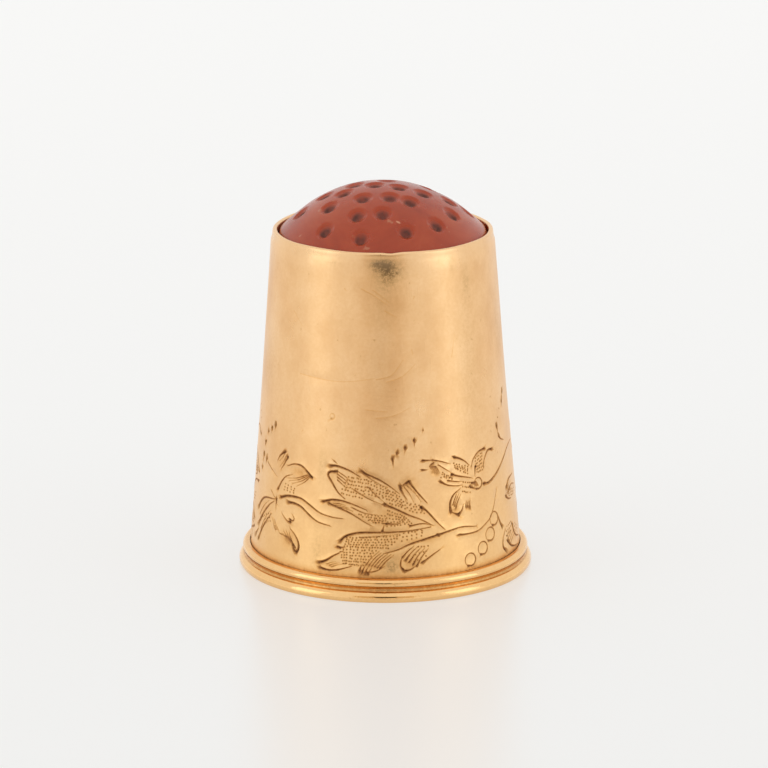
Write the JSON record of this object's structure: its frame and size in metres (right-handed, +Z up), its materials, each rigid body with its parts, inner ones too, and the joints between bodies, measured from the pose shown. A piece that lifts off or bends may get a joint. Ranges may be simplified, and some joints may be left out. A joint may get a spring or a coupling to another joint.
{
  "type": "thimble",
  "caption": "Tapered gold thimble with a moulded foot, a thin upper lip and a domed, pitted hardstone top, open underneath for the fingertip.",
  "frame": {"origin": "centre of the foot, on the surface the thimble stands on", "axes": "+Z up along the thimble's own axis, from the open foot to the stone; the reference front faces -Y"},
  "size_m": [0.018, 0.018, 0.0238],
  "materials": {
    "gold": "satin yellow gold, brighter where worn, darker in the cuts",
    "hardstone": "polished red-brown hardstone",
    "cement": "matt dark setting cement"
  },
  "bodies": {
    "root": {"body_shell": "gold", "seat_ring": "gold", "setting_cement": "cement", "stone_top": "hardstone", "rim_bead": "gold", "rim_roll": "gold"}
  },
  "joints": []
}
